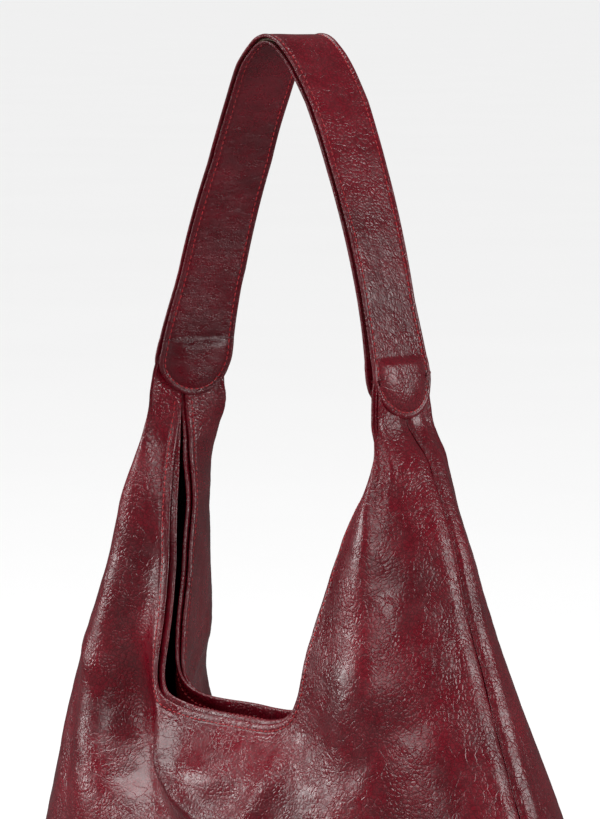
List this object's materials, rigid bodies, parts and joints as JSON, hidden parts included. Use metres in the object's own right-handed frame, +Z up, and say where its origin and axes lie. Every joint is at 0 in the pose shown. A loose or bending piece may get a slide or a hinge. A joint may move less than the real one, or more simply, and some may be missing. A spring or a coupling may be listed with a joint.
{
  "type": "hobo bag",
  "caption": "Slouchy leather hobo bag whose two horns rise to one broad fixed shoulder strap, with an open mouth, a magnetic snap and an inner zip pocket.",
  "frame": {"origin": "middle of the base, on the surface that the bag stands on", "axes": "+X from horn to horn, to the right seen from the front; -Y towards the front, +Y towards the back; +Z up"},
  "size_m": [0.3956, 0.1603, 0.5706],
  "materials": {
    "leather": "glossy crinkled burgundy leather",
    "strap_lining_leather": "satin fine-grained burgundy leather",
    "lining": "black cotton twill",
    "board": "pressed fibre board",
    "snap_metal": "polished light gold",
    "zip_tape": "woven tape",
    "zip_metal": "polished light gold"
  },
  "bodies": {
    "bag": {"front_panel": "leather", "back_panel": "leather", "base_panel": "leather", "base_board": "board", "base_lining": "lining", "front_lining": "lining", "back_lining": "lining", "front_facing": "leather", "back_facing": "leather", "snap_socket": "snap_metal", "snap_stud": "snap_metal", "snap_washers": "snap_metal", "pocket_bag": "lining", "zip_tape_upper": "zip_tape", "zip_tape_lower": "zip_tape", "zip_teeth": "zip_metal", "zip_stops": "zip_metal"},
    "strap": {"strap_outer": "leather", "strap_inner": "strap_lining_leather", "strap_core": "board", "left_horn_tip": "leather", "right_horn_tip": "leather"},
    "zip_slider": {"zip_slider": "zip_metal"},
    "zip_pull": {"zip_pull": "leather"}
  },
  "joints": [
    {"name": "strap_fold", "type": "hinge", "parent": "bag", "child": "strap", "pos_m": [0, 0, 0.393], "axis": [1, 0, 0], "range_deg": [-90, 90]},
    {"name": "pocket_zip_slide", "type": "slide", "parent": "bag", "child": "zip_slider", "axis": [1, 0, 0], "range_m": [0, 0.136]},
    {"name": "zip_pull_swing", "type": "hinge", "parent": "zip_slider", "child": "zip_pull", "pos_m": [-0.068, 0.00494, 0.15628], "axis": [1, 0, 0], "range_deg": [-115, 40]}
  ]
}
